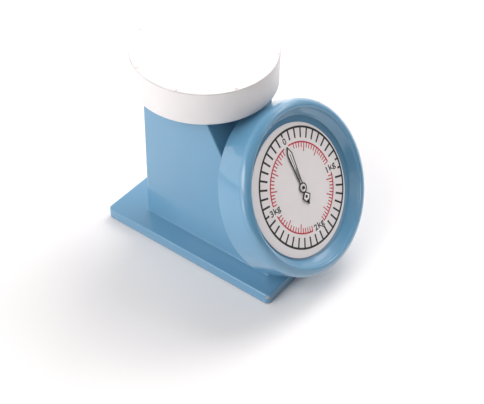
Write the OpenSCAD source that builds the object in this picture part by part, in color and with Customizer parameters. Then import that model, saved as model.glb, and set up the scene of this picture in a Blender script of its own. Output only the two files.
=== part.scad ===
/* [Base] */
// width of the base plate across the dial
base_w = 131.2; // [110:0.1:200]
// depth of the base plate, front to back
base_d = 200; // [160:1:240]
// height of the top of the base above the table
base_top = 12.3; // [8:0.1:20]
// how far the base reaches behind the origin
base_back = 117; // [80:1:130]
// wall of the hollow base
base_wall = 3; // [2:0.1:5]
// radius of the base's upright corners
base_corner = 4.5; // [1:0.1:12]
// gap between the base's lower edge and the table
foot_gap = 0.8; // [0.4:0.1:3]

/* [Pillar] */
// width of the pillar
pillar_w = 86.7; // [80:0.1:120]
// rear face of the pillar
pillar_back = 83.5; // [70:0.5:95]
// front of the pillar's foot, which is upright below the slope
pillar_foot = -67.5; // [-75:0.1:-60]
// height of the pillar's top
pillar_top = 174; // [165:0.1:180]
// wall of the pillar
pillar_wall = 2.5; // [1.5:0.1:4]

/* [Dial] */
// lean of the dial from upright
tilt = 29.5; // [0:0.5:45]
// centre of the dial, front to back
dial_y = -71.2; // [-90:0.1:-40]
// centre of the dial, height
dial_z = 96.8; // [85:0.1:110]
// outer radius of the drum
drum_r = 83.1; // [80:0.1:90]
// depth of the drum behind the printed face
drum_back = 26.4; // [20:0.1:40]
// length of the neck between drum and pillar
neck_len = 10.8; // [8:0.1:20]
// radius of the printed plate
plate_r = 63.1; // [50:0.1:68]
// sideways shift of the plate in its recess
plate_shift = -4.1; // [-5:0.1:5]
// radius to the pointer's tip
tip_r = 42.4; // [40:0.1:50]
// turn of the printed zero and the resting pointer, clockwise
zero_turn = 1.4; // [-3:0.1:3]

/* [Platform] */
// centre of the platform, front to back
plat_y = 44.1; // [30:0.1:60]
// radius of the platform
plat_r = 69.4; // [50:0.1:90]
// height of the platform's top
plat_top = 203.1; // [170:0.1:220]
// height of the platform's lower edge
plat_low = 168.7; // [165:0.1:180]
// wall of the platform cap
plat_wall = 2.6; // [1.5:0.1:5]

/* [Mechanism] */
// travel of the platform for one turn of the pointer
travel = 3; // [2:0.1:4]
// short arm of both levers
arm_a = 22; // [20:1:26]
// height of the long lever's pivot
low_pivot_z = 62.3; // [58:0.1:66]
// height of the upper lever's pivot
top_pivot_z = 122.3; // [110:0.1:125]
// centre of the spring and the zero wheel, front to back
spring_y = 54.5; // [52:0.1:56]
// pitch radius of the pinion
pinion_r = 2.5; // [2:0.1:4]
// teeth of the pinion
pinion_teeth = 10; // [8:1:14]
// radius of the lever pins
pin_r = 2; // [1.5:0.1:3]
// running clearance of the pins, on the radius
run_gap = 0.08; // [0.03:0.01:0.1]

/* [Hidden] */
blue = [0.36, 0.6, 0.76];
steel = [0.72, 0.73, 0.75];
brass = [0.8, 0.65, 0.32];
black = [0.08, 0.08, 0.08];
white = [0.93, 0.93, 0.92];
base_front = base_back - base_d;
// slope of the pillar's front: y gained per unit of height
slope = tan(tilt);
// the pillar's leaning front face
back_h = -drum_back - neck_len;
back_y = dial_y - back_h * cos(tilt);
back_z = dial_z + back_h * sin(tilt);
// half of the levers' swing
swing = asin(travel / 2 / arm_a);
pivot_y = plat_y - arm_a;
pin_y = pivot_y + arm_a * (1 + cos(swing)) / 2;
long_arm = arm_a * 2 * PI * pinion_r * cos(tilt) / travel;
pinion_h = -11;
rack_low = -36.2;
// where the bezel meets the drum, in front of the printed face
seam_h = 1.2;
mod = 2 * pinion_r / pinion_teeth;
pitch = PI * mod;
slack = 0.14;

function front_y(z) = back_y + (z - back_z) * slope;
function front_z(y) = back_z + (y - back_y) / slope;

// places a child drawn with z out of the dial and y up the dial
module on_dial() {
    translate([0, dial_y, dial_z]) rotate([90 - tilt, 0, 0]) children();
}

// extrudes a side view drawn as (y, z) across the width w
module side(w, x = 0) {
    translate([x, 0, 0]) rotate([90, 0, 90]) linear_extrude(height = w, center = true) children();
}

// round bar along x
module bar_x(r, len, x, y, z, n = 48) {
    translate([x, y, z]) rotate([0, 90, 0]) cylinder(r = r, h = len, center = true, $fn = n);
}

// block given by its low and high corners
module block(a, b) {
    translate(a) cube([b[0] - a[0], b[1] - a[1], b[2] - a[2]]);
}

// plate with round upright corners
module rounded_plate(a, b, r) {
    union() {
        block([a[0] + r, a[1], a[2]], [b[0] - r, b[1], b[2]]);
        block([a[0], a[1] + r, a[2]], [b[0], b[1] - r, b[2]]);
        for (x = [a[0] + r, b[0] - r]) {
            for (y = [a[1] + r, b[1] - r]) {
                translate([x, y, a[2]]) cylinder(r = r, h = b[2] - a[2], $fn = 48);
            }
        }
    }
}

// screw with a round head at the origin, shank down -z
module screw(r, head_r, head_h, len) {
    difference() {
        union() {
            cylinder(r = head_r, h = head_h, $fn = 32);
            translate([0, 0, -len]) cylinder(r = r, h = len + head_h / 2, $fn = 32);
        }
        translate([-head_r * 0.7, -0.4, head_h * 0.5]) cube([head_r * 1.4, 0.8, head_h]);
        translate([-0.4, -head_r * 0.7, head_h * 0.5]) cube([0.8, head_r * 1.4, head_h]);
    }
}

foot_xy = [for (x = [-1, 1]) for (y = [base_front + 14, base_back - 14]) [x * (base_w / 2 - 14), y]];
pillar_boss = [for (x = [-1, 1]) for (y = [-50, pillar_back - pillar_wall - 6]) [x * (pillar_w / 2 - 9), y]];
frame_boss = [for (x = [-1, 1]) for (y = [-15, 8]) [x * 24, y]];
// screws that hold drum and neck to the pillar, and the movement's posts, as (x, u) on the dial
drum_fix = [for (x = [-25, 25]) for (u = [-38, 26]) [x, u]];
move_fix = [for (x = [-31, 31]) for (u = [-7, 9]) [x, u]];

// ---- shell ----

module base_plate() {
    color(blue) difference() {
        union() {
            difference() {
                rounded_plate([-base_w / 2, base_front, foot_gap], [base_w / 2, base_back, base_top],
                              base_corner);
                rounded_plate([-base_w / 2 + base_wall, base_front + base_wall, foot_gap - 1],
                              [base_w / 2 - base_wall, base_back - base_wall, base_top - base_wall], 2);
            }
            for (p = foot_xy) {
                translate([p[0], p[1], foot_gap]) cylinder(r = 10, h = base_top - foot_gap - 1, $fn = 48);
            }
            // guide boss that keeps the zero stud from turning
            translate([0, spring_y, 2.5]) cylinder(r = 9, h = base_top - 3.5, $fn = 48);
        }
        for (p = foot_xy) {
            translate([p[0], p[1], -1]) cylinder(r = 7.05, h = 4.6, $fn = 48);
        }
        for (p = concat(pillar_boss, frame_boss)) {
            translate([p[0], p[1], 0]) cylinder(r = 2.1, h = 20, $fn = 32);
        }
        block([-3.2, spring_y - 3.2, 0], [3.2, spring_y + 3.2, 20]);
    }
}

module rubber_feet() {
    color(black) for (p = foot_xy) {
        translate([p[0], p[1], 0]) cylinder(r = 7, h = 3.6, $fn = 48);
    }
}

module pillar_housing() {
    w = pillar_wall;
    wf = pillar_wall / cos(tilt);
    color(blue) difference() {
        union() {
            difference() {
                side(pillar_w) polygon([[pillar_back, base_top], [pillar_back, pillar_top],
                    [front_y(pillar_top), pillar_top], [pillar_foot, front_z(pillar_foot)],
                    [pillar_foot, base_top]]);
                side(pillar_w - 2 * w) polygon([[pillar_back - w, base_top - 1],
                    [pillar_back - w, pillar_top - w], [front_y(pillar_top - w) + wf, pillar_top - w],
                    [pillar_foot + w, front_z(pillar_foot + w - wf)], [pillar_foot + w, base_top - 1]]);
            }
            for (p = pillar_boss) {
                translate([p[0], p[1], base_top]) cylinder(r = 5, h = 16, $fn = 32);
                block([p[0] > 0 ? p[0] : -pillar_w / 2 + 1, p[1] - 2, base_top],
                      [p[0] > 0 ? pillar_w / 2 - 1 : p[0], p[1] + 2, base_top + 16]);
            }
        }
        translate([0, plat_y, pillar_top - 10]) cylinder(r = 22, h = 40, $fn = 96);
        for (p = pillar_boss) {
            translate([p[0], p[1], base_top - 1]) cylinder(r = 1.6, h = 13, $fn = 32);
        }
        // window for the long lever, and screw holes of the drum
        on_dial() {
            translate([-20, -42, back_h - 8]) cube([40, 64, 12]);
            for (p = drum_fix) {
                translate([p[0], p[1], back_h - 8]) cylinder(r = 1.6, h = 12, $fn = 32);
            }
        }
        // window for the rim of the zero wheel
        block([-18, pillar_back - 10, 14.6], [18, pillar_back + 5, 23.6]);
    }
}

// collar round the carriage, inside the platform
module pillar_collar() {
    color(blue) translate([0, plat_y, 0]) difference() {
        union() {
            translate([0, 0, pillar_top]) cylinder(r = 24, h = 6, $fn = 96);
            translate([0, 0, pillar_top - pillar_wall]) cylinder(r = 21.97, h = pillar_wall + 1, $fn = 96);
        }
        translate([0, 0, pillar_top - 10]) cylinder(r = 20, h = 40, $fn = 96);
    }
}

// square neck that carries the drum clear of the pillar
module dial_neck() {
    color(blue) on_dial() difference() {
        union() {
            difference() {
                translate([-32, -46, back_h]) cube([64, 80, neck_len]);
                translate([-29, -43, back_h - 1]) cube([58, 74, neck_len + 2]);
            }
            for (x = [-29.5, 21]) {
                for (u = [-43.5, 21.5]) {
                    translate([x, u, back_h]) cube([8.5, 10, neck_len]);
                }
            }
        }
        for (p = drum_fix) {
            translate([p[0], p[1], back_h - 1]) cylinder(r = 1.8, h = neck_len + 2, $fn = 32);
        }
    }
}

module base_screws() {
    color(steel) for (p = pillar_boss) {
        translate([p[0], p[1], base_top - base_wall]) rotate([180, 0, 0]) screw(1.55, 3.4, 2, 11);
    }
}

module dial_drum() {
    b = -drum_back;
    color(blue) on_dial() difference() {
        union() {
            rotate_extrude($fn = 180) polygon([[58, b], [drum_r, b], [drum_r, seam_h], [78.2, seam_h],
                [78.2, -1], [54, -1], [54, -3], [78.2, -3], [78.2, b + 2.5], [58, b + 2.5]]);
            // the back stays whole beside the window
            difference() {
                translate([0, 0, b]) cylinder(r = 60, h = 2.5, $fn = 96);
                translate([-20, -42, b - 1]) cube([40, 64, 5]);
            }
            for (p = move_fix) {
                translate([p[0], p[1], b + 1]) cylinder(r = 4, h = drum_back - 18.5, $fn = 32);
            }
        }
        translate([-20, -42, b - 1]) cube([40, 64, 4.5]);
        for (p = drum_fix) {
            translate([p[0], p[1], b - 1]) cylinder(r = 2.1, h = 5, $fn = 32);
        }
        for (p = move_fix) {
            translate([p[0], p[1], b - 0.5]) cylinder(r = 1.05, h = drum_back - 16, $fn = 32);
        }
    }
}

// front ring that closes the drum: a swelling bead, then a slope down to the plate
module dial_bezel() {
    color(blue) on_dial() rotate_extrude($fn = 180) polygon([[67.4, -1], [78.1, -1], [78.1, seam_h],
        [drum_r, seam_h], [83, 2.6], [82.6, 4.4], [81.6, 6.1], [80.2, 7.4], [78.5, 8.3],
        [76.7, 8.7], [75.6, 8.5], [74.7, 7.8],
        [74.1, 6.8], [73.8, 5.6], [72.8, 4.4], [70.2, 2], [68.4, 0]]);
}

module drum_screws() {
    color(steel) on_dial() for (p = drum_fix) {
        translate([p[0], p[1], -drum_back + 2.5]) screw(1.55, 3.6, 2, neck_len + 6.5);
    }
}

module dial_plate() {
    color(white) on_dial() difference() {
        translate([plate_shift, 0, -1]) cylinder(r = plate_r, h = 1, $fn = 180);
        translate([0, 0, -2]) cylinder(r = 2.2, h = 4, $fn = 48);
    }
}

// ---- pointer, drawn at zero with its point up the dial ----

module pointer() {
    color(black) on_dial() difference() {
        rotate([0, 0, -zero_turn]) union() {
            translate([0, 0, 0.4]) linear_extrude(height = 0.6) polygon([[0, tip_r], [-3.3, 35.8], [-1.5, 4],
                [1.5, 4], [3.3, 35.8]]);
            translate([0, 0, 0.4]) linear_extrude(height = 0.6) polygon([[0.9, -4.3], [5.6, -9.3],
                [2.8, -13.4], [0, -17.8], [-2.8, -13.4], [-5.6, -9.3], [-0.9, -4.3]]);
            translate([0, 0, 0.35]) cylinder(r = 5, h = 0.75, $fn = 64);
        }
        cylinder(r = 1.02, h = 5, center = true, $fn = 32);
    }
}

module pointer_cap() {
    color(black) on_dial() difference() {
        translate([0, 0, 1.1]) cylinder(r = 1.6, h = 0.7, $fn = 32);
        translate([0, 0, 0.6]) cylinder(r = 1.02, h = 0.9, $fn = 32);
    }
}

// ---- platform and carriage ----

spider_r = 54;

module platform_cap() {
    color(white) translate([0, plat_y, 0]) difference() {
        union() {
            difference() {
                rotate_extrude($fn = 180) polygon([[0, plat_low], [plat_r - 1.8, plat_low],
                    [plat_r - 0.8, plat_low + 0.5], [plat_r, plat_low + 1.6], [plat_r, plat_top - 1],
                    [plat_r - 1, plat_top], [0, plat_top]]);
                translate([0, 0, plat_low - 1]) cylinder(r = plat_r - plat_wall, h = plat_top - plat_low - 2,
                    $fn = 180);
            }
            for (a = [90, 210, 330]) {
                translate([spider_r * cos(a), spider_r * sin(a), plat_top - 10])
                    cylinder(r = 4.5, h = 8, $fn = 32);
            }
        }
        for (a = [90, 210, 330]) {
            translate([spider_r * cos(a), spider_r * sin(a), plat_top - 11])
                cylinder(r = 1.3, h = 8, $fn = 32);
        }
    }
}

module platform_spider() {
    color(steel) translate([0, plat_y, plat_top - 13]) difference() {
        union() {
            cylinder(r = 22, h = 3, $fn = 64);
            for (a = [90, 210, 330]) {
                rotate([0, 0, a]) translate([17, -5, 0.4]) cube([spider_r - 20, 10, 2.2]);
                translate([spider_r * cos(a), spider_r * sin(a), 0]) cylinder(r = 6.5, h = 3, $fn = 48);
            }
        }
        for (a = [90, 210, 330]) {
            translate([spider_r * cos(a), spider_r * sin(a), -1]) cylinder(r = 1.8, h = 5, $fn = 32);
            translate([13 * cos(a + 60), 13 * sin(a + 60), -1]) cylinder(r = 1.8, h = 5, $fn = 32);
        }
    }
}

module spider_screws() {
    color(steel) translate([0, plat_y, 0]) {
        for (a = [90, 210, 330]) {
            translate([spider_r * cos(a), spider_r * sin(a), plat_top - 13])
                rotate([180, 0, 0]) screw(1.25, 3, 1.6, 9);
            translate([13 * cos(a + 60), 13 * sin(a + 60), plat_top - 10]) screw(1.25, 3, 1.6, 6.4);
        }
    }
}

module carriage() {
    y = plat_y;
    color(steel) difference() {
        union() {
            block([-8, y - 7.5, 44.5], [8, y + 7.5, plat_top - 16]);
            // foot over the spring, with its rib
            translate([0, spring_y, 44]) cylinder(r = 10, h = 2.4, $fn = 64);
            side(4) polygon([[y + 6, 45], [spring_y + 7.5, 45], [spring_y + 7.5, 47.6], [y + 6, 58]]);
            translate([0, y, plat_top - 17]) cylinder(r = 23.5, h = 4, $fn = 96);
            // shoulder that keeps the carriage from being lifted out
            block([-23, y - 7.5, pillar_top - 7], [23, y + 7.5, pillar_top - 4]);
        }
        block([-6.2, y - 5.7, 70], [6.2, y + 5.7, plat_top - 20]);
        for (z = [low_pivot_z, top_pivot_z]) {
            bar_x(pin_r + 0.01, 40, 0, pin_y, z + travel / 2);
        }
        for (a = [90, 210, 330]) {
            translate([13 * cos(a + 60), y + 13 * sin(a + 60), plat_top - 25])
                cylinder(r = 1.26, h = 20, $fn = 32);
        }
    }
}

module carriage_pins() {
    color(steel) for (z = [low_pivot_z, top_pivot_z]) {
        bar_x(pin_r, 25.2, 0, pin_y, z + travel / 2);
        bar_x(3.4, 1.4, 13.3, pin_y, z + travel / 2);
        bar_x(3.4, 1.4, -13.3, pin_y, z + travel / 2);
    }
}

module stop_ring() {
    color(black) translate([0, plat_y, pillar_top + 6]) difference() {
        cylinder(r = 23.6, h = 2.8, $fn = 96);
        translate([0, 0, -1]) cylinder(r = 20.6, h = 8, $fn = 96);
    }
}

// ---- frame and levers ----

module chassis_frame() {
    color(steel) difference() {
        union() {
            for (x = [-15, 15]) {
                side(3, x) polygon([[-22, base_top], [14, base_top], [14, 34], [pivot_y + 8, 50],
                    [pivot_y + 8, 130], [4, 130], [4, 66], [-22, 24]]);
            }
            block([-16.5, -22, base_top], [16.5, 12, base_top + 2.5]);
            for (x = [-1, 1]) {
                block([x > 0 ? 15 : -30, -21, base_top], [x > 0 ? 30 : -15, 14, base_top + 2.5]);
            }
            block([-14, 5, 72], [14, 8, 130]);
        }
        for (z = [low_pivot_z, top_pivot_z]) {
            bar_x(pin_r + 0.01, 60, 0, pivot_y, z);
        }
        for (p = frame_boss) {
            translate([p[0], p[1], base_top - 1]) cylinder(r = 1.6, h = 6, $fn = 32);
        }
    }
}

module chassis_screws() {
    color(steel) for (p = frame_boss) {
        translate([p[0], p[1], base_top - base_wall]) rotate([180, 0, 0]) screw(1.55, 3.4, 2, 7);
    }
}

module pivot_pins() {
    color(steel) for (z = [low_pivot_z, top_pivot_z]) {
        bar_x(pin_r, 33.8, 0, pivot_y, z);
        bar_x(3.4, 1.4, 17.5, pivot_y, z);
        bar_x(3.4, 1.4, -17.5, pivot_y, z);
    }
}

// lever about its pivot, drawn level, then raised by the swing at the carriage end
module lever_pose(z) {
    translate([0, pivot_y, z]) rotate([swing, 0, 0]) children();
}

module lever_arms(front) {
    difference() {
        union() {
            for (x = [-10.6, 10.6]) {
                bar_x(5, 2.4, x, 0, 0);
                bar_x(5, 2.4, x, arm_a, 0);
                block([x - 1.2, 0, -5], [x + 1.2, arm_a, 5]);
            }
            block([-11, 8.5, -4], [11, 11.5, 4]);
            if (front > 0) {
                side(2.4, -10.6) polygon([[0, -5], [0, 5], [-front, 3.4], [-front, -3.4]]);
                bar_x(3.4, 2.4, -10.6, -front, 0);
            }
        }
        bar_x(pin_r + run_gap, 40, 0, 0, 0);
        bar_x(pin_r + run_gap, 40, 0, arm_a, 0);
        if (front > 0) {
            bar_x(1.51, 40, 0, -front, 0);
        }
    }
}

module upper_lever() {
    color(steel) lever_pose(top_pivot_z) lever_arms(0);
}

module main_lever() {
    color(steel) lever_pose(low_pivot_z) lever_arms(long_arm);
}

module rack_pin() {
    color(steel) lever_pose(low_pivot_z) {
        bar_x(1.5, 6.7, -9.05, -long_arm, 0);
        bar_x(2.6, 1, -12.4, -long_arm, 0);
    }
}

// ---- spring and zero adjuster ----

spring_low = 26;
spring_high = 44;
spring_wire = 1.1;
spring_r = 7.6;

function coil_z(t) = spring_low + spring_wire + (spring_high - spring_low - 2 * spring_wire) *
    (t < 0.16 ? t * 0.35 : t > 0.84 ? 1 - (1 - t) * 0.35 : 0.056 + (t - 0.16) * 0.888 / 0.68);
coil_n = 120;
coil_m = 10;
coil_turns = 5.5;
coil_pts = [for (i = [0:coil_n]) for (j = [0:coil_m - 1])
    let (t = i / coil_n, a = 360 * coil_turns * t, b = 360 * j / coil_m,
        r = spring_r + spring_wire * 0.98 * cos(b))
    [r * cos(a), spring_y + r * sin(a), coil_z(t) + spring_wire * 0.98 * sin(b)]];
coil_faces = concat(
    [[for (j = [0:coil_m - 1]) j]],
    [[for (j = [0:coil_m - 1]) coil_n * coil_m + coil_m - 1 - j]],
    [for (i = [0:coil_n - 1]) for (j = [0:coil_m - 1]) [i * coil_m + j, (i + 1) * coil_m + j,
        (i + 1) * coil_m + (j + 1) % coil_m]],
    [for (i = [0:coil_n - 1]) for (j = [0:coil_m - 1]) [i * coil_m + j, (i + 1) * coil_m + (j + 1) % coil_m,
        i * coil_m + (j + 1) % coil_m]]);

module main_spring() {
    color(steel) polyhedron(points = coil_pts, faces = coil_faces, convexity = 8);
}

module zero_stud() {
    color(steel) translate([0, spring_y, 0]) {
        block([-3, -3, 3.5], [3, 3, base_top + 0.6]);
        translate([0, 0, base_top + 0.6]) cylinder(r = 5, h = 12.4, $fn = 64);
        translate([0, 0, 24]) cylinder(r = 10, h = 2, $fn = 64);
        translate([0, 0, 25]) cylinder(r = 5.8, h = 5, $fn = 64);
    }
}

module zero_wheel() {
    color(black) translate([0, spring_y, 0]) difference() {
        union() {
            translate([0, 0, 16]) cylinder(r = 30, h = 5.4, $fn = 120);
            translate([0, 0, base_top + 0.5]) cylinder(r = 9, h = 6, $fn = 64);
            for (i = [0:59]) {
                rotate([0, 0, 6 * i]) translate([29, -0.7, 16]) cube([2.2, 1.4, 5.4]);
            }
        }
        translate([0, 0, 5]) cylinder(r = 5.08, h = 30, $fn = 64);
        for (i = [0:5]) {
            rotate([0, 0, 60 * i]) translate([18, 0, 10]) cylinder(r = 5, h = 20, $fn = 48);
        }
    }
}

// ---- rack, pinion and movement ----

module rack() {
    tooth = pitch / 2 - slack / 2;
    color(brass) union() {
        on_dial() {
            translate([-7, rack_low, pinion_h - 1.5]) cube([7 - pinion_r - 0.8, 14 - rack_low, 3]);
            // teeth, one gap centred on the pinion's tooth at rest
            for (i = [-12:1]) {
                translate([0, (i + 0.5) * pitch, pinion_h - 1.5]) linear_extrude(height = 3) polygon([
                    [-pinion_r - 0.9, -tooth / 2 - 0.3], [-pinion_r + 0.26, -tooth / 2 + 0.095],
                    [-pinion_r + 0.26, tooth / 2 - 0.095], [-pinion_r - 0.9, tooth / 2 + 0.3]]);
            }
        }
        rack_lug();
    }
}

// upright lug with a level slot for the lever's pin
module rack_lug() {
    z0 = low_pivot_z - long_arm * sin(swing);
    y0 = pivot_y - long_arm * cos(swing);
    run = 2 * PI * pinion_r * sin(tilt);
    difference() {
        side(1.6, -6.2) polygon([[y0 + 3.6, z0 - 4.2], [y0 + 3.6, z0 + 5], [y0 + 3, z0 + 9],
            [y0 - 0.8, z0 + 9], [y0 - 5, z0 + 4.2], [y0 - run - 3.6, z0 + 4.2], [y0 - run - 3.6, z0 - 4.2]]);
        bar_x(1.58, 10, -6.2, y0 + 0.25, z0);
        bar_x(1.58, 10, -6.2, y0 - run - 0.5, z0);
        block([-10, y0 - run - 0.5, z0 - 1.58], [-2, y0 + 0.25, z0 + 1.58]);
    }
}

module rack_guide() {
    color(brass) on_dial() union() {
        translate([-10.4, -11, -16]) cube([6.4, 22, 3.2]);
        translate([-10.4, -11, -16]) cube([3.1, 22, 7.8]);
        translate([-10.4, -11, -9.2]) cube([5.4, 22, 1]);
    }
}

// flank of an involute tooth from the base circle outwards
base_r = pinion_r * cos(20);
function inv(r) = tan(acos(base_r / r)) - acos(base_r / r) * PI / 180;
tooth_half = 90 / pinion_teeth - slack / 4 / pinion_r * 180 / PI;
function flank(r) = tooth_half + (inv(pinion_r) - inv(r)) * 180 / PI;
flank_r = [for (i = [0:5]) base_r + (pinion_r + 0.48 - base_r) * i / 5];
tooth_pts = concat(
    [[1.2, -(tooth_half + inv(pinion_r) * 180 / PI) * 0.9], [1.95, -(tooth_half + inv(pinion_r) * 180 / PI)]],
    [for (r = flank_r) [r, -flank(r)]],
    [for (i = [5:-1:0]) [flank_r[i], flank(flank_r[i])]],
    [[1.95, tooth_half + inv(pinion_r) * 180 / PI], [1.2, (tooth_half + inv(pinion_r) * 180 / PI) * 0.9]]);

module pinion_arbor() {
    color(brass) on_dial() union() {
        translate([0, 0, -18.6]) cylinder(r = 1, h = 20, $fn = 32);
        translate([0, 0, -15.2]) cylinder(r = 1.7, h = 1.4, $fn = 32);
        translate([0, 0, pinion_h - 2.2]) cylinder(r = 1.96, h = 4.4, $fn = 48);
        for (i = [0:pinion_teeth - 1]) {
            translate([0, 0, pinion_h - 2.2]) linear_extrude(height = 4.4) polygon([for (p = tooth_pts)
                [p[0] * cos(p[1] + 180 + i * 360 / pinion_teeth),
                 p[0] * sin(p[1] + 180 + i * 360 / pinion_teeth)]]);
        }
    }
}

module arbor_bushes() {
    color(brass) on_dial() for (h = [-17.5, -6.5]) {
        translate([0, 0, h]) difference() {
            union() {
                cylinder(r = 2.5, h = 1.7, $fn = 48);
                translate([0, 0, 1.5]) cylinder(r = 3.6, h = 0.6, $fn = 48);
            }
            translate([0, 0, -1]) cylinder(r = 1.05, h = 5, $fn = 48);
        }
    }
}

module movement_plate() {
    color(steel) on_dial() difference() {
        translate([-36, -11.5, -17.5]) cube([72, 25, 1.5]);
        translate([0, 0, -19]) cylinder(r = 2.51, h = 5, $fn = 48);
        for (p = move_fix) {
            translate([p[0], p[1], -19]) cylinder(r = 1.6, h = 5, $fn = 32);
        }
        for (x = [-22, 22]) {
            translate([x, 0, -19]) cylinder(r = 1.05, h = 5, $fn = 32);
        }
    }
}

module movement_bridge() {
    color(steel) on_dial() difference() {
        union() {
            translate([-18.5, -6, -6.5]) cube([37, 12, 1.5]);
            for (x = [-18.5, 17]) {
                translate([x, -6, -16]) cube([1.5, 12, 11]);
            }
            translate([-26, -6, -16]) cube([9, 12, 1.5]);
            translate([17, -6, -16]) cube([9, 12, 1.5]);
        }
        translate([0, 0, -8]) cylinder(r = 2.51, h = 5, $fn = 48);
        for (x = [-22, 22]) {
            translate([x, 0, -18]) cylinder(r = 1.3, h = 5, $fn = 32);
        }
    }
}

module bridge_screws() {
    color(steel) on_dial() for (x = [-22, 22]) {
        translate([x, 0, -14.5]) screw(1, 2.2, 1.4, 3.6);
    }
}

module movement_screws() {
    color(steel) on_dial() for (p = move_fix) {
        translate([p[0], p[1], -16]) screw(1, 2.4, 1.4, 5.4);
    }
}

base_plate();
rubber_feet();
pillar_housing();
pillar_collar();
base_screws();
dial_neck();
dial_drum();
drum_screws();
dial_bezel();
dial_plate();
pointer();
pointer_cap();
platform_cap();
platform_spider();
spider_screws();
carriage();
carriage_pins();
stop_ring();
chassis_frame();
chassis_screws();
upper_lever();
main_lever();
pivot_pins();
rack_pin();
main_spring();
zero_stud();
zero_wheel();
rack();
rack_guide();
pinion_arbor();
arbor_bushes();
movement_plate();
movement_bridge();
bridge_screws();
movement_screws();
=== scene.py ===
import bpy, bmesh, math, random
from mathutils import Vector, Matrix, noise


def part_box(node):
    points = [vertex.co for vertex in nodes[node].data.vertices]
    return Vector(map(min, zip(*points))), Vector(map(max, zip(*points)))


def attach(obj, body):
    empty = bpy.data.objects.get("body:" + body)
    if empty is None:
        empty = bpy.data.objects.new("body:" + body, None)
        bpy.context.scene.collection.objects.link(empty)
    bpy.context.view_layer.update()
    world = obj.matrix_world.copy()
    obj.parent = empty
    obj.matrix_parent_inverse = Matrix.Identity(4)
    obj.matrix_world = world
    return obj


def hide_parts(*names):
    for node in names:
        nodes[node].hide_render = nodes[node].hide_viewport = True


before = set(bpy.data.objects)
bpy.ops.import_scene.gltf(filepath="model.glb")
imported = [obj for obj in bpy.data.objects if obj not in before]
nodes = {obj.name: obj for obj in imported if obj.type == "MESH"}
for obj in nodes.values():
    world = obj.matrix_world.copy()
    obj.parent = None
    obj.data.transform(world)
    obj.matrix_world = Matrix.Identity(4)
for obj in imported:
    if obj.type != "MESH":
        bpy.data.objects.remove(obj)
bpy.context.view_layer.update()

MM = 0.001

# ---------------------------------------------------------------- driving sizes
TILT = math.radians(29.5)                            # the dial leans back this far
N = Vector((0, -math.cos(TILT), math.sin(TILT)))     # out of the dial
U = Vector((0, math.sin(TILT), math.cos(TILT)))      # up the dial
C = Vector((0, -0.0712, 0.0968))                     # middle of the printed face
ZERO = math.radians(1.4)     # the printed zero and the resting pointer stand this far clockwise

# in millimetres: radii about the dial's axis, heights along N from the printed face
DRUM_R = 83.1
DRUM_BACK = -26.4
DRUM_WALL = 2.5
SEAM = 1.2                   # joint between the drum and its front ring
PILLAR_FACE = -37.2          # the pillar's sloped front, which the neck stands on
PILLAR_FOOT = -67.5          # y of the pillar's front where it is upright below the slope
WINDOW = ((-20, -42), (20, 22))      # opening through pillar and drum, across and up the dial

# ---------------------------------------------------------------- camera


def make_camera():
    """Looks down on the dial from its left, from well back, with a slight roll."""
    az, roll = math.radians(53.563), math.radians(1.189)
    back = Vector((-0.5943, -0.4387, 0.6740)).normalized()
    right0 = Vector((math.cos(az), -math.sin(az), 0))
    up0 = back.cross(right0)
    right = math.cos(roll) * right0 + math.sin(roll) * up0
    up = back.cross(right)
    data = bpy.data.cameras.new("view")
    data.sensor_width = 36.0
    data.lens = 94.0
    cam = bpy.data.objects.new("view", data)
    m = Matrix((right, up, back)).transposed().to_4x4()
    m.translation = Vector((-0.7368, -0.5458, 0.8753))
    cam.matrix_world = m
    bpy.context.scene.collection.objects.link(cam)
    bpy.context.scene.camera = cam


make_camera()
bpy.context.scene.view_settings.view_transform = "Standard"

# ---------------------------------------------------------------- mesh helpers

SHARP = 35     # edges that turn by more than this many degrees stay sharp


def new_object(name, bm, smooth=True, angle=SHARP):
    """Makes an object of bm, which it frees. Edges that turn by more than angle stay sharp."""
    mesh = bpy.data.meshes.new(name)
    bmesh.ops.recalc_face_normals(bm, faces=bm.faces)
    bm.to_mesh(mesh)
    bm.free()
    obj = bpy.data.objects.new(name, mesh)
    bpy.context.scene.collection.objects.link(obj)
    if smooth:
        mesh.polygons.foreach_set("use_smooth", [True] * len(mesh.polygons))
        mesh.update()
        mark_sharp(mesh, math.radians(angle))
    return obj


def mark_sharp(mesh, limit):
    """Keeps edges that turn by limit or more out of the smoothing."""
    bm = bmesh.new()
    bm.from_mesh(mesh)
    for e in bm.edges:
        if len(e.link_faces) == 2:
            e.smooth = e.calc_face_angle(0) < limit
    bm.to_mesh(mesh)
    bm.free()


def lathe(profile, steps, place, closed=False, bend=None):
    """Turns (r, h) points about the local z axis. place maps a local point to the scene."""
    bm = bmesh.new()
    rings = []
    for i in range(steps):
        a = 2 * math.pi * i / steps
        ring = []
        for k, (r, h) in enumerate(profile):
            p = Vector((r * math.cos(a), r * math.sin(a), h))
            if bend:
                p = bend(p, a, k)
            ring.append(bm.verts.new(place(p)))
        rings.append(ring)
    n = len(profile)
    last = n if closed else n - 1
    for i in range(steps):
        A, B = rings[i], rings[(i + 1) % steps]
        for k in range(last):
            bm.faces.new((A[k], B[k], B[(k + 1) % n], A[(k + 1) % n]))
    if not closed:
        for k, (r, h) in ((0, profile[0]), (n - 1, profile[-1])):
            if r < 1e-6:
                bmesh.ops.pointmerge(bm, verts=[ring[k] for ring in rings], merge_co=rings[0][k].co)
    bmesh.ops.remove_doubles(bm, verts=bm.verts, dist=1e-7)
    return bm


def arc(cx, cy, r, a0, a1, n):
    """n + 1 points of an arc, angles in degrees."""
    angles = [math.radians(a0 + (a1 - a0) * i / n) for i in range(n + 1)]
    return [(cx + r * math.cos(a), cy + r * math.sin(a)) for a in angles]


def on_dial(p):
    """A point given across, up and out of the dial."""
    return C + Vector((1, 0, 0)) * p.x + U * p.y + N * p.z


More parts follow.
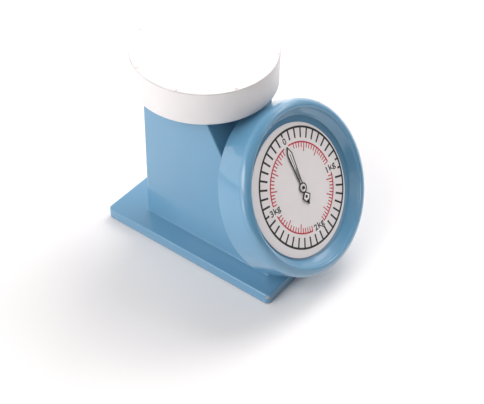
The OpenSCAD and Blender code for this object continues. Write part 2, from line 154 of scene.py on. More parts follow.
def rounded_rect(x0, y0, x1, y1, r, n=8):
    pts = []
    corners = ((x1 - r, y1 - r, 0), (x0 + r, y1 - r, 90), (x0 + r, y0 + r, 180), (x1 - r, y0 + r, 270))
    for cx, cy, a in corners:
        pts += arc(cx, cy, r, a, a + 90, n)
    return pts


def loft(rings, caps=True):
    """Skins equal rings of points in their order."""
    bm = bmesh.new()
    vs = [[bm.verts.new(Vector(p)) for p in ring] for ring in rings]
    n = len(vs[0])
    for A, B in zip(vs, vs[1:]):
        for k in range(n):
            bm.faces.new((A[k], A[(k + 1) % n], B[(k + 1) % n], B[k]))
    if caps:
        bm.faces.new(vs[0][::-1])
        bm.faces.new(vs[-1])
    return bm


def cut(obj, cutter):
    """Cuts cutter out of obj and removes the cutter."""
    mod = obj.modifiers.new("cut", "BOOLEAN")
    mod.operation = "DIFFERENCE"
    mod.solver = "EXACT"
    mod.object = cutter
    bpy.context.view_layer.update()
    deps = bpy.context.evaluated_depsgraph_get()
    mesh = bpy.data.meshes.new_from_object(obj.evaluated_get(deps))
    obj.modifiers.clear()
    old = obj.data
    obj.data = mesh
    bpy.data.meshes.remove(old)
    bpy.data.objects.remove(cutter)
    mesh.polygons.foreach_set("use_smooth", [True] * len(mesh.polygons))
    mark_sharp(mesh, math.radians(SHARP))


def box_mesh(name, a, b, place=lambda p: p):
    bm = bmesh.new()
    v = [bm.verts.new(place(Vector((x, y, z))))
         for x in (a[0], b[0]) for y in (a[1], b[1]) for z in (a[2], b[2])]
    for f in ((0, 1, 3, 2), (4, 6, 7, 5), (0, 4, 5, 1), (2, 3, 7, 6), (0, 2, 6, 4), (1, 5, 7, 3)):
        bm.faces.new([v[i] for i in f])
    return new_object(name, bm, smooth=False)


def window_cutter(h0, h1):
    """A box that cuts WINDOW from h0 to h1 along N, in mm."""
    (x0, u0), (x1, u1) = WINDOW
    return box_mesh("cutter", (x0 * MM, u0 * MM, h0 * MM), (x1 * MM, u1 * MM, h1 * MM), on_dial)


# ---------------------------------------------------------------- materials


class Mat:
    """A small builder for node materials."""

    def __init__(self, name):
        self.material = bpy.data.materials.new(name)
        self.material.use_nodes = True
        self.tree = self.material.node_tree
        self.tree.nodes.clear()
        out = self.add("ShaderNodeOutputMaterial")
        self.shader = self.add("ShaderNodeBsdfPrincipled")
        self.link(self.shader.outputs[0], out.inputs[0])
        self.coords = self.add("ShaderNodeTexCoord").outputs["Object"]

    def add(self, kind, **props):
        n = self.tree.nodes.new(kind)
        for k, v in props.items():
            setattr(n, k, v)
        return n

    def link(self, a, b):
        self.tree.links.new(a, b)

    def put(self, value, sock):
        """Links another node's output to the socket, or sets a plain value on it."""
        if hasattr(value, "node"):
            self.link(value, sock)
        else:
            sock.default_value = value

    def mapped(self, scale):
        n = self.add("ShaderNodeMapping")
        n.inputs["Scale"].default_value = scale
        self.link(self.coords, n.inputs["Vector"])
        return n.outputs[0]

    def noise(self, scale, detail=3, rough=0.5, coords=None):
        n = self.add("ShaderNodeTexNoise")
        n.inputs["Scale"].default_value = scale
        n.inputs["Detail"].default_value = detail
        n.inputs["Roughness"].default_value = rough
        self.link(coords or self.coords, n.inputs["Vector"])
        return n.outputs["Fac"]

    def ramp(self, fac, stops):
        n = self.add("ShaderNodeValToRGB")
        el = n.color_ramp.elements
        while len(el) < len(stops):
            el.new(0.5)
        for e, (p, c) in zip(el, stops):
            e.position = p
            e.color = tuple(c) + (1,)
        self.link(fac, n.inputs[0])
        return n.outputs[0]

    def grey(self, fac, a, b, lo=0.0, hi=1.0):
        """Maps fac from lo..hi to a..b."""
        n = self.add("ShaderNodeMapRange")
        n.inputs["From Min"].default_value = lo
        n.inputs["From Max"].default_value = hi
        n.inputs["To Min"].default_value = a
        n.inputs["To Max"].default_value = b
        self.link(fac, n.inputs[0])
        return n.outputs[0]

    def mix(self, fac, a, b):
        n = self.add("ShaderNodeMix", data_type="RGBA")
        self.link(fac, n.inputs["Factor"])
        for sock, v in ((n.inputs[6], a), (n.inputs[7], b)):
            self.put(v if hasattr(v, "node") else tuple(v) + (1,), sock)
        return n.outputs[2]

    def math(self, op, a, b):
        n = self.add("ShaderNodeMath", operation=op)
        self.put(a, n.inputs[0])
        self.put(b, n.inputs[1])
        return n.outputs[0]

    def bump(self, height, strength, distance):
        n = self.add("ShaderNodeBump")
        n.inputs["Strength"].default_value = strength
        n.inputs["Distance"].default_value = distance
        self.link(height, n.inputs["Height"])
        return n.outputs[0]

    def set(self, **kw):
        """Base_Color=... stands for the shader's input Base Color, and so on."""
        for k, v in kw.items():
            self.put(v, self.shader.inputs[k.replace("_", " ")])


def srgb(r, g, b):
    """A screen colour in 0..255 as the linear colour that shaders take."""
    def linear(c):
        c /= 255
        return c / 12.92 if c <= 0.04045 else ((c + 0.055) / 1.055) ** 2.4

    return tuple(linear(c) for c in (r, g, b))


def lacquer():
    m = Mat("sky_blue_lacquer")
    broad = m.noise(14, 3, 0.55)
    col = m.ramp(broad, [(0.3, srgb(98, 149, 182)), (0.7, srgb(100, 151, 184))])
    # one corner of the base is chipped down to the primer
    lo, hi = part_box("base_plate")
    corner = Vector((lo.x + 0.9 * MM, lo.y + 0.9 * MM, hi.z - 3.2 * MM))
    away = m.add("ShaderNodeVectorMath", operation="DISTANCE")
    m.link(m.coords, away.inputs[0])
    away.inputs[1].default_value = corner
    ragged = m.math("ADD", away.outputs["Value"], m.grey(m.noise(450, 3, 0.6), -1.2 * MM, 1.2 * MM))
    col = m.mix(m.grey(ragged, 0.9, 0.0, 1.5 * MM, 2.4 * MM), col, (0.50, 0.46, 0.48))
    rough = m.grey(m.noise(60, 3, 0.5), 0.28, 0.3, 0.3, 0.7)
    waves = m.bump(m.noise(22, 2, 0.4), 0.02, 0.001)
    m.set(Base_Color=col, Roughness=rough, Normal=waves)
    m.shader.inputs["Coat Weight"].default_value = 0.9
    m.shader.inputs["Coat Roughness"].default_value = 0.04
    m.shader.inputs["Specular IOR Level"].default_value = 0.4
    return m.material


def white_paint():
    m = Mat("white_lacquer")
    fac = m.noise(30, 4, 0.6)
    col = m.ramp(fac, [(0.3, (0.725, 0.715, 0.725)), (0.7, (0.755, 0.745, 0.755))])
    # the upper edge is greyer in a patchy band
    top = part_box("platform_cap")[1].z
    parts = m.add("ShaderNodeSeparateXYZ")
    m.link(m.coords, parts.inputs[0])
    below = m.grey(parts.outputs["Z"], 0.0, 1.0, top - 1.1 * MM, top - 0.6 * MM)
    above = m.grey(parts.outputs["Z"], 1.0, 0.0, top - 0.14 * MM, top - 0.03 * MM)
    edge = m.math("MULTIPLY", below, above)
    grey_upper_band = m.math("MULTIPLY", edge, m.grey(m.noise(55, 3, 0.6), 0.35, 1.0, 0.35, 0.6))
    col = m.mix(grey_upper_band, col, (0.50, 0.48, 0.47))
    rough = m.grey(m.noise(90, 4, 0.6), 0.42, 0.6, 0.3, 0.7)
    m.set(Base_Color=col, Roughness=rough, Normal=m.bump(m.noise(420, 3, 0.6), 0.08, 0.0004))
    m.shader.inputs["Specular IOR Level"].default_value = 0.35
    return m.material


def paper():
    m = Mat("printed_plate_ground")
    fibre = m.noise(700, 4, 0.7)
    blotch = m.noise(40, 3, 0.5)
    col = m.ramp(blotch, [(0.3, srgb(230, 226, 227)), (0.7, srgb(234, 230, 231))])
    col = m.mix(m.grey(fibre, 0.0, 0.25), col, srgb(220, 217, 219))
    m.set(Base_Color=col, Roughness=m.grey(blotch, 0.5, 0.65), Normal=m.bump(fibre, 0.06, 0.0002))
    m.shader.inputs["Specular IOR Level"].default_value = 0.3
    return m.material


def ink(name, dark, light):
    m = Mat(name)
    f = m.noise(900, 3, 0.6)
    col = m.ramp(f, [(0.35, dark), (0.75, light)])
    m.set(Base_Color=col, Roughness=m.grey(f, 0.4, 0.6), Normal=m.bump(f, 0.08, 0.0001))
    return m.material


def metal(name, colour, rough=(0.28, 0.42), brushed=(6, 6, 240), strength=0.12):
    m = Mat(name)
    lines = m.noise(6, 3, 0.6, m.mapped(brushed))
    spots = m.noise(70, 4, 0.6)
    dark = tuple(c * 0.8 for c in colour)
    col = m.mix(m.grey(spots, 0, 0.6, 0.35, 0.75), colour, dark)
    m.set(Base_Color=col, Metallic=1.0, Roughness=m.grey(lines, rough[0], rough[1], 0.3, 0.7),
          Normal=m.bump(lines, strength, 0.0002))
    return m.material


def rubber(name="rubber_black", colour=(0.025, 0.025, 0.027)):
    m = Mat(name)
    f = m.noise(500, 4, 0.6)
    col = m.ramp(m.noise(50, 3, 0.6), [(0.3, colour), (0.75, tuple(c * 1.9 + 0.01 for c in colour))])
    m.set(Base_Color=col, Roughness=m.grey(f, 0.62, 0.82), Normal=m.bump(f, 0.2, 0.0003))
    return m.material


BLUE = lacquer()
WHITE = white_paint()
PAPER = paper()
INK = ink("black_ink", (0.010, 0.010, 0.011), (0.035, 0.034, 0.036))
RED = ink("red_ink", srgb(186, 38, 52), srgb(206, 66, 76))
POINTER_WHITE = ink("pointer_white", srgb(228, 227, 226), srgb(238, 237, 236))
STEEL = metal("brushed_steel", (0.62, 0.63, 0.65))
ZINC = metal("screw_steel", (0.66, 0.66, 0.64), (0.2, 0.34), (90, 90, 90), 0.05)
BRASS = metal("brass", (0.72, 0.52, 0.22), (0.2, 0.36))
ALUMINIUM = metal("aluminium", (0.76, 0.77, 0.79), (0.3, 0.45))
RUBBER = rubber()
PLASTIC = rubber("wheel_plastic_black", (0.03, 0.03, 0.034))


def paint(obj, mat):
    """Gives obj this material and no other."""
    obj.data.materials.clear()
    obj.data.materials.append(mat)
    return obj


# ---------------------------------------------------------------- base


def build_base():
    """A tray with its open side down, rounded at the corners and along its upper edge."""
    lo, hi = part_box("base_plate")
    x0, y0, z0 = lo
    x1, y1, z1 = hi
    corner, edge, foot = 4.5 * MM, 1.3 * MM, 0.7 * MM
    wall, fillet, lip, tightest = 3 * MM, 1.2 * MM, 0.4 * MM, 0.4 * MM
    rings = []

    def ring(inset, z, r):
        pts = rounded_rect(x0 + inset, y0 + inset, x1 - inset, y1 - inset, max(r - inset, tightest))
        rings.append([(p[0], p[1], z) for p in pts])

    # inside, from the roof down, then the foot and the outer side up
    ring(wall + fillet, z1 - wall, corner)
    ring(wall, z1 - wall - fillet, corner)
    ring(wall, z0 + lip, corner)
    ring(wall - lip, z0, corner)
    for i in range(4):
        a = math.radians(90 * i / 3)
        ring(foot * (1 - math.sin(a)), z0 + foot * (1 - math.cos(a)), corner)
    for i in range(7):
        a = math.radians(90 * i / 6)
        ring(edge * (1 - math.cos(a)), z1 - edge * (1 - math.sin(a)), corner)
    return new_object("base_shell", loft(rings), angle=50)


base = paint(build_base(), BLUE)
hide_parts("base_plate")
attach(base, "frame")

# ---------------------------------------------------------------- pillar and neck


def front_y(z):
    """The pillar's sloped front, which the neck stands on, and its upright foot."""
    face = C + N * (PILLAR_FACE * MM)
    return max(face.y + (z - face.z) * math.tan(TILT), PILLAR_FOOT * MM)


def build_pillar():
    """A shell with its open side down, with openings for the carriage, the neck and the zero wheel."""
    lo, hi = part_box("pillar_housing")
    half = (hi.x - lo.x) / 2
    y1 = hi.y
    z0, top = lo.z, hi.z
    wall, edge, inner_r, seam = 2.5 * MM, 1.5 * MM, 0.8 * MM, 0.6 * MM
    corner, seam_r = 1.8 * MM, 2.4 * MM
    rings = []

    def ring(z, grow=0.0, r=corner):
        pts = rounded_rect(-half - grow, front_y(z) - grow, half + grow, y1 + grow, r, 6)
        rings.append([(p[0], p[1], z) for p in pts])

    # inside, from the roof down
    ring(top - wall, -wall, inner_r)
    ring(z0 + 0.01 * MM, -wall, inner_r)
    # paint gathers in the corner against the base
    ring(z0 + 0.01 * MM, seam, seam_r)
    for i in range(1, 5):
        a = math.radians(90 * i / 4)
        grow = seam * (1 - math.sin(a))
        ring(z0 + seam * (1 - math.cos(a)), grow, seam_r + (corner - seam_r) * math.sin(a))
    for i in range(1, 24):
        ring(z0 + seam + (top - edge - z0 - seam) * i / 24)
    for i in range(5):
        a = math.radians(90 * i / 4)
        ring(top - edge * (1 - math.sin(a)), -edge * (1 - math.cos(a)) * 0.8)
    obj = new_object("pillar_shell", loft(rings), angle=40)
    mid = Vector((0, (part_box("pillar_collar")[0].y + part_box("pillar_collar")[1].y) / 2, top))
    r, reach = 21.99 * MM, 20 * MM
    bore = lathe([(0, -reach), (r, -reach), (r, reach), (0, reach)], 96, lambda p: p + mid)
    cut(obj, new_object("cutter", bore, smooth=False))
    cut(obj, window_cutter(PILLAR_FACE - 7.8, PILLAR_FACE + 4.2))
    cut(obj, box_mesh("cutter", (-18 * MM, y1 - 10 * MM, 14.6 * MM), (18 * MM, y1 + 10 * MM, 23.6 * MM)))
    return obj


def build_collar():
    lo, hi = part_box("pillar_collar")
    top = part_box("pillar_housing")[1].z
    mid = Vector(((lo.x + hi.x) / 2, (lo.y + hi.y) / 2, 0))
    inner, outer, step = 20 * MM, 24 * MM, 21.9 * MM
    bevel, gap = 0.5 * MM, 0.02 * MM
    prof = [(inner, lo.z), (inner, hi.z - bevel), (inner + bevel, hi.z), (outer - bevel, hi.z),
            (outer, hi.z - bevel), (outer, top + gap), (step, top - gap), (step, lo.z)]
    return new_object("collar_ring", lathe(prof, 128, lambda p: p + mid, closed=True), angle=50)


def build_neck():
    """A square tube between the pillar's slope and the drum."""
    h0, h1, wall, bevel = PILLAR_FACE, DRUM_BACK, 3.0, 0.2
    rings = []
    for grow, h in ((-wall, h1), (-wall, h0), (-bevel, h0), (0, h0 + bevel), (0, h1 - bevel), (-bevel, h1)):
        pts = rounded_rect(-32 - grow, -46 - grow, 32 + grow, 34 + grow, 3.4 + grow, 6)
        rings.append([on_dial(Vector((p[0], p[1], h)) * MM) for p in pts])
    bm = loft(rings + rings[:1], caps=False)
    bmesh.ops.remove_doubles(bm, verts=bm.verts, dist=1e-7)
    return new_object("neck_tube", bm, angle=40)


for piece, node in ((build_pillar(), "pillar_housing"), (build_collar(), "pillar_collar"),
                    (build_neck(), "dial_neck")):
    paint(piece, BLUE)
    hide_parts(node)
    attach(piece, "frame")

# ---------------------------------------------------------------- drum and its front ring

SEAM_BEVEL = 0.12     # on both sides of the joint


def build_drum():
    """The drum's side with the ledge under the dial plate, and the middle of its back."""
    b, inner, ledge, hub, edge = DRUM_BACK, 78.2, 54, 27, 0.8
    out = [(hub, b), (DRUM_R - edge, b)] + arc(DRUM_R - edge, b + edge, edge, -90, 0, 4)[1:]
    out += [(DRUM_R, SEAM - SEAM_BEVEL), (DRUM_R - SEAM_BEVEL, SEAM), (inner, SEAM), (inner, -1),
            (ledge, -1), (ledge, -3), (inner, -3), (inner, b + DRUM_WALL), (hub, b + DRUM_WALL)]
    shell = lathe([(r * MM, h * MM) for r, h in out], 192, on_dial, closed=True)
    obj = new_object("drum_shell", shell, angle=40)
    half = 38 * MM
    back = box_mesh("drum_back_wall", (-half, -half, b * MM), (half, half, (b + DRUM_WALL) * MM), on_dial)
    for piece in (obj, back):
        cut(piece, window_cutter(b - 1, b + 6))
    return obj, back


def build_bezel():
    """A swelling bead with its crest towards the inside, a crease, then the slope down to the plate."""
    crest, level, wide, high, inner_r, back = 75.95, 1.45, 7.1, 7.2, 2.0, -0.98
    prof = [(DRUM_R - SEAM_BEVEL, SEAM), (DRUM_R, SEAM + SEAM_BEVEL)]
    for a in range(5, 91, 6):
        t = math.radians(a)
        prof.append((crest + wide * math.cos(t), level + high * math.sin(t)))
    for a in range(14, 85, 14):
        t = math.radians(a)
        prof.append((crest - inner_r * math.sin(t), level + high - inner_r + inner_r * math.cos(t)))
    prof += [(73.85, 5.7), (73.7, 5.3), (73.2, 4.8), (72.3, 4.0), (70.8, 2.6), (69.6, 1.4),
             (68.8, 0.6), (68.5, 0.1), (67.45, back), (78.1, back), (78.1, SEAM)]
    ring = lathe([(r * MM, h * MM) for r, h in prof], 192, on_dial, closed=True)
    return new_object("bezel_ring", ring, angle=32)


for piece, node in tuple((o, "dial_drum") for o in build_drum()) + ((build_bezel(), "dial_bezel"),):
    paint(piece, BLUE)
    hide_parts(node)
    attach(piece, "frame")

# ---------------------------------------------------------------- platform


def build_platform():
    """A cap with its open side down. Its upper edge is rounded, slightly uneven and chipped in places."""
    lo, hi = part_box("platform_cap")
    mid = Vector(((lo.x + hi.x) / 2, (lo.y + hi.y) / 2, 0))
    R = (hi.x - lo.x) / 2
    z0, z1 = lo.z, hi.z
    wall, roof, fillet, edge = 2.6 * MM, 3 * MM, 1.5 * MM, 0.9 * MM
    # inside, then the sloped lower edge that clears the drum, then the side
    prof = [(0, z1 - roof), (R - wall - fillet, z1 - roof), (R - wall, z1 - roof - fillet),
            (R - wall, z0 + 0.3 * MM), (R - 2.3 * MM, z0)]
    prof += [(R - 1.85 * MM, z0), (R - 1.2 * MM, z0 + 0.3 * MM), (R - 0.8 * MM, z0 + 0.52 * MM),
             (R - 0.3 * MM, z0 + 1.1 * MM), (R - 0.08 * MM, z0 + 1.5 * MM)]
    prof += [(R, z0 + (z1 - z0) * t) for t in (0.09, 0.15, 0.3, 0.45, 0.6, 0.75, 0.88, 0.94)]
    top_edge = arc(R - edge, z1 - edge, edge, 0, 90, 6)
    uneven = range(len(prof) - 1, len(prof) + len(top_edge) + 2)
    prof += top_edge
    prof += [(R * t, z1) for t in (0.985, 0.97, 0.94, 0.85, 0.7, 0.5, 0.3, 0.15, 0)]
    rng = random.Random(7)
    chips = []
    for deg, size in ((155, 1.6), (197, 0.9), (243, 1.9), (301, 0.8), (40, 1.2), (102, 1.1)):
        chips.append((math.radians(deg), size * MM, (0.45 + 0.3 * rng.random()) * MM))

    def bend(p, a, k):
        if k not in uneven:
            return p
        deep = 0.0
        for at, size, depth in chips:
            x = R * math.atan2(math.sin(a - at), math.cos(a - at)) / size
            deep += 0.7 * depth * math.exp(-x * x * 2.2)
        wobble = 0.05 * MM * abs(noise.noise(Vector((math.cos(a) * 6, math.sin(a) * 6, k * 0.6))))
        r = math.hypot(p.x, p.y)
        shrink = (r - deep - wobble) / r
        return Vector((p.x * shrink, p.y * shrink, p.z - deep))

    return new_object("platform_disc", lathe(prof, 720, lambda p: p + mid, bend=bend), angle=50)


plat = paint(build_platform(), WHITE)
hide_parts("platform_cap")
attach(plat, "platform")

# ---------------------------------------------------------------- dial plate and print


def dial_disc():
    """The plate. Its rim lies off the dial's axis, and the hole for the pinion's shaft lies on it."""
    R, shift = 63.1, -4.1
    prof = [(2.2, -0.97), (R - 0.2, -0.97), (R, -0.8), (R, -0.12), (R - 0.12, 0), (2.3, 0), (2.2, -0.1)]
    bm = lathe([(r * MM, h * MM) for r, h in prof], 192, lambda p: p, closed=True)
    for v in bm.verts:
        r = math.hypot(v.co.x, v.co.y)
        if r > 10 * MM:
            v.co.x += shift * MM
        v.co = on_dial(v.co)
    return new_object("dial_disc", bm, angle=40)


disc = paint(dial_disc(), PAPER)
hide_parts("dial_plate")
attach(disc, "frame")

PRINT_LOW, PRINT_HIGH = -0.03 * MM, 0.05 * MM     # faces of the print along N


def turned(p):
    """on_dial, turned clockwise by ZERO."""
    c, s = math.cos(ZERO), math.sin(ZERO)
    return on_dial(Vector((p.x * c + p.y * s, p.y * c - p.x * s, p.z)))


class Print:
    """Flat printed shapes with a hair of thickness, drawn on the dial in mm."""

    def __init__(self, low=PRINT_LOW, high=PRINT_HIGH):
        self.bm = bmesh.new()
        self.low, self.high = low, high

    def prism(self, pts):
        a = [self.bm.verts.new(turned(Vector((x * MM, y * MM, self.low)))) for x, y in pts]
        b = [self.bm.verts.new(turned(Vector((x * MM, y * MM, self.high)))) for x, y in pts]
        n = len(pts)
        for i in range(n):
            self.bm.faces.new((a[i], a[(i + 1) % n], b[(i + 1) % n], b[i]))
        self.bm.faces.new(a[::-1])
        self.bm.faces.new(b)

    def arc_band(self, r0, r1, a0, a1, step=3.0):
        """Band between two radii, angles clockwise from the top in degrees."""
        n = max(2, int(abs(a1 - a0) / step))
        full = abs(a1 - a0) >= 359.9
        angles = [math.radians(a0 + (a1 - a0) * i / n) for i in range(n if full else n + 1)]
        self.band([self.section(0, 0, r0, r1, a) for a in angles], full)

    def section(self, cx, cy, r0, r1, a):
        """Four corners of a band round cx, cy, at angle a clockwise from the top."""
        s, c = math.sin(a), math.cos(a)
        return [self.bm.verts.new(turned(Vector(((cx + r * s) * MM, (cy + r * c) * MM, h))))
                for r, h in ((r0, self.low), (r0, self.high), (r1, self.high), (r1, self.low))]

    def band(self, rows, full):
        """Skins the sections in rows, as a full ring or with closed ends."""
        n = len(rows)
        for i in range(n if full else n - 1):
            A, B = rows[i], rows[(i + 1) % n]
            for k in range(4):
                self.bm.faces.new((A[k], A[(k + 1) % 4], B[(k + 1) % 4], B[k]))
        if not full:
            self.bm.faces.new(rows[0])
            self.bm.faces.new(rows[-1][::-1])

    def tick(self, ang, r0, r1, w):
        """A radial line w wide, angle clockwise from the top in degrees."""
        a = math.radians(ang)
        s, c = math.sin(a), math.cos(a)
        h = w / 2
        self.prism([(r0 * s - h * c, r0 * c + h * s), (r1 * s - h * c, r1 * c + h * s),
                    (r1 * s + h * c, r1 * c - h * s), (r0 * s + h * c, r0 * c - h * s)])

    def disc(self, cx, cy, r, n=32):
        turns = [2 * math.pi * i / n for i in range(n)]
        self.prism([(cx + r * math.cos(t), cy + r * math.sin(t)) for t in turns])

    def ring(self, cx, cy, r0, r1, n=48):
        self.band([self.section(cx, cy, r0, r1, 2 * math.pi * i / n) for i in range(n)], True)

    def line(self, x0, y0, x1, y1, w):
        dx, dy = x1 - x0, y1 - y0
        d = math.hypot(dx, dy)
        nx, ny = -dy / d * w / 2, dx / d * w / 2
        self.prism([(x0 + nx, y0 + ny), (x0 - nx, y0 - ny), (x1 - nx, y1 - ny), (x1 + nx, y1 + ny)])

    def outline(self, pts, w):
        for i, p in enumerate(pts):
            self.line(*pts[i - 1], *p, w)
        for p in pts:
            self.disc(p[0], p[1], w / 2, 8)

    def done(self, name, mat, body):
        obj = paint(new_object(name, self.bm, smooth=False), mat)
        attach(obj, body)
        return obj


# the print, in mm. Ticks beside a numeral are shorter than the others
black = Print()
black.arc_band(55.7, 57.7, 0, 360)
SHORTER = {0: 52.6, 10: 52.6, 11: 52.6, 30: 51.3}
for i in range(40):
    black.tick(i * 9, SHORTER.get(i, 46.6), 56.6, 1.85)
black.done("dial_ring_black", INK, "frame")

red = Print()
LONG_TICK, SHORT_TICK, TICK_END = 34.0, 37.6, 42.6     # radii
for a0, a1 in ((3.9, 84.8), (99.4, 165.9), (190.9, 262.3), (275.5, 355.4)):
    red.arc_band(42.0, 43.4, a0, a1)
# runs of ticks between the numerals: first, last, number of steps, which are long
for a0, a1, n, longs in ((13, 58, 9, (4, 9)), (62.4, 84.4, 5, ()), (103, 129.7, 6, (1, 6)),
                         (134, 165.6, 7, (4,)),
                         (191.2, 213.5, 5, (5,)), (218.4, 258.6, 8, (4,)), (276.1, 294, 4, (4,)),
                         (298.8, 317.9, 4, (4,)), (322.7, 337.1, 3, (3,)), (342, 351.5, 2, ())):
    for i in range(n + 1):
        red.tick(a0 + (a1 - a0) * i / n, LONG_TICK if i in longs else SHORT_TICK, TICK_END, 1.1)
red.done("dial_ring_red", RED, "frame")


def label(text, x, y, size, wide):
    """A word in type of this size, fitted to wide, with its middle at x, y, all in mm."""
    cu = bpy.data.curves.new("label", "FONT")
    cu.body = text
    cu.size = size * MM
    cu.align_x = "CENTER"
    cu.align_y = "CENTER"
    cu.extrude = 0.04 * MM
    cu.offset = 0.16 * MM
    cu.space_character = 1.08
    cu.resolution_u = 6
    o = bpy.data.objects.new("label", cu)
    bpy.context.scene.collection.objects.link(o)
    bpy.context.view_layer.update()
    mesh = bpy.data.meshes.new_from_object(o.evaluated_get(bpy.context.evaluated_depsgraph_get()))
    bpy.data.objects.remove(o)
    xs = [v.co.x for v in mesh.vertices]
    ys = [v.co.y for v in mesh.vertices]
    mx, my = (min(xs) + max(xs)) / 2, (min(ys) + max(ys)) / 2
    k = wide * MM / (max(xs) - min(xs))
    for v in mesh.vertices:
        v.co = on_dial(Vector(((v.co.x - mx) * k + x * MM, v.co.y - my + y * MM, v.co.z)))
    return mesh


def labels():
    size = 8.6
    bm = bmesh.new()
    for text, x, y, wide in (("0", 1.4, 48.3, 4.2), ("1kg", 43.7, -4.4, 13.4), ("2kg", 1.0, -42.2, 14.2),
                             ("3kg", -42.4, 0.0, 14.0)):
        mesh = label(text, x, y, size, wide)
        bm.from_mesh(mesh)
        bpy.data.meshes.remove(mesh)
    obj = paint(new_object("dial_numerals", bm, smooth=False), INK)
    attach(obj, "frame")


labels()

# ---------------------------------------------------------------- pointer
# the back of the pointer, its painted face, the face of its black lines and the cap's, along N
P0, P1, P2, P3 = 0.45 * MM, 0.85 * MM, 0.98 * MM, 1.75 * MM
blade = [(0, 42.2), (-2.9, 35.6), (-1.15, 4.4), (1.15, 4.4), (2.9, 35.6)]
tail = [(0.5, -4.9), (5.1, -9.3), (2.5, -13.3), (-2.5, -13.3), (-5.1, -9.3), (-0.5, -4.9)]
ground = Print(P0, P1)
ground.prism(blade)
ground.prism(tail)
ground.disc(0, 0, 4.9, 48)
ground.done("pointer_ground", POINTER_WHITE, "pointer_body")
pen = Print(P0, P2)
pen.outline(blade, 1.0)
pen.line(0, 8, 0, 35.6, 0.6)
for i in range(8):
    y = 6.5 + i * 1.7
    w = 0.75 + 0.04 * y
    pen.line(-w, y, w, y + 1.3, 0.4)
pen.outline(tail, 1.05)
pen.disc(0, -9.3, 1.5, 20)
pen.prism([(0, -17.6), (2.7, -12.9), (-2.7, -12.9)])
pen.ring(0, 0, 3.8, 4.95)
pen.done("pointer_pen", INK, "pointer_body")
boss = Print(P1, P3)
boss.disc(0, 0, 1.58, 32)
cap = boss.done("pointer_boss", INK, "pointer_body")
for o in ("pointer_ground", "pointer_pen"):
    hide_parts("pointer")
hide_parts("pointer_cap")

# ---------------------------------------------------------------- the other CAD parts get real materials
finish = {
    "rubber_feet": RUBBER, "stop_ring": RUBBER, "zero_wheel": PLASTIC,
    "platform_spider": ALUMINIUM, "carriage": ALUMINIUM, "upper_lever": ALUMINIUM, "main_lever": ALUMINIUM,
    "rack": BRASS, "rack_guide": BRASS, "pinion_arbor": BRASS, "arbor_bushes": BRASS,
    "base_screws": ZINC, "drum_screws": ZINC, "spider_screws": ZINC, "chassis_screws": ZINC,
    "bridge_screws": ZINC, "movement_screws": ZINC,
    "carriage_pins": ZINC, "pivot_pins": ZINC, "rack_pin": ZINC,
    "chassis_frame": STEEL, "movement_plate": STEEL, "movement_bridge": STEEL,
    "main_spring": STEEL, "zero_stud": STEEL,
}
for name, mat in finish.items():
    paint(nodes[name], mat)

# ---------------------------------------------------------------- floor and light


def floor():
    bm = bmesh.new()
    half = 6.0
    vs = [bm.verts.new((x, y, 0)) for x, y in ((-half, -half), (half, -half), (half, half), (-half, half))]
    bm.faces.new(vs)
    obj = new_object("floor", bm, smooth=False)
    m = Mat("floor_white")
    f = m.noise(3, 2)
    m.set(Base_Color=m.ramp(f, [(0.3, (0.86, 0.86, 0.868)), (0.7, (0.87, 0.87, 0.875))]), Roughness=0.9)
    m.shader.inputs["Specular IOR Level"].default_value = 0.1
    paint(obj, m.material)


floor()

TINT = (1.04, 1.0, 0.985)
AIM = Vector((0, 0, 0.09))     # what the lights point at


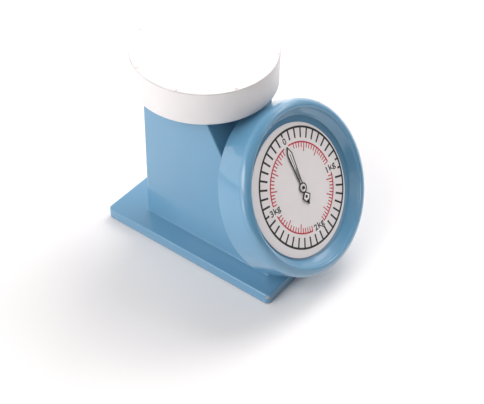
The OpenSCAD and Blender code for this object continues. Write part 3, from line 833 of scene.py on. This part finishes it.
def around(name, az, el, power, size=0.9, size_y=0.9, dist=1.9):
    """A soft box on a sphere round the scale, azimuth from +X towards +Y."""
    a, e = math.radians(az), math.radians(el)
    at = Vector((math.cos(e) * math.cos(a), math.cos(e) * math.sin(a), math.sin(e))) * dist
    data = bpy.data.lights.new(name, "AREA")
    data.shape = "RECTANGLE"
    data.size = size
    data.size_y = size_y
    data.energy = power
    data.color = TINT
    o = bpy.data.objects.new(name, data)
    o.location = at
    o.rotation_euler = (AIM - at).to_track_quat("-Z", "Y").to_euler()
    bpy.context.scene.collection.objects.link(o)


# azimuth and height in degrees, and power in watts
SOFT_BOXES = (
    (5, 60, 12.4),
    (180, 45, 8.8),
    (-15, 38, 9.9),
    (155, 40, 8.4),
    (170, 8, 6.3),
    (10, 40, 4.0),
    (-40, 35, 2.9),
    (-140, 40, 1.6),
    (-70, 45, 0.7),
    (-110, 60, 0.6),
)
for az, el, power in SOFT_BOXES:
    around("soft_%d_%d" % (az, el), az, el, power)
# two of them would glare in the slope round the dial, so they light it without a reflection
for name in ("soft_5_60", "soft_-15_38"):
    bpy.data.objects[name].visible_glossy = False
# a narrow strip in front gives the ring's crest a highlight instead
around("crest_strip", -26, 40, 2.0, 0.7, 0.25)
# a long low strip behind lights the upper edge of the drum
around("back_strip", 58, 12, 6.0, 2.2, 0.3)


def lobe(tree, direction, az, strength):
    """Light that falls off with the squared cosine of the angle from az, in degrees."""
    a = math.radians(az)
    dot = tree.nodes.new("ShaderNodeVectorMath")
    dot.operation = "DOT_PRODUCT"
    dot.inputs[1].default_value = (math.cos(a), math.sin(a), 0)
    tree.links.new(direction, dot.inputs[0])
    step = dot.outputs["Value"]
    for op, value in (("MAXIMUM", 0.0), ("POWER", 2.0), ("MULTIPLY", strength)):
        n = tree.nodes.new("ShaderNodeMath")
        n.operation = op
        n.inputs[1].default_value = value
        tree.links.new(step, n.inputs[0])
        step = n.outputs[0]
    return step


def studio():
    """A dark room with two broad lobes of light from behind."""
    world = bpy.data.worlds.new("studio")
    bpy.context.scene.world = world
    world.use_nodes = True
    tree = world.node_tree
    background = tree.nodes["Background"]
    background.inputs[0].default_value = TINT + (1.0,)
    direction = tree.nodes.new("ShaderNodeTexCoord").outputs["Generated"]
    total = tree.nodes.new("ShaderNodeMath")
    for sock, (az, strength) in zip(total.inputs, ((36.4, 1.539), (126.4, 1.341))):
        tree.links.new(lobe(tree, direction, az, strength), sock)
    tree.links.new(total.outputs[0], background.inputs[1])


studio()
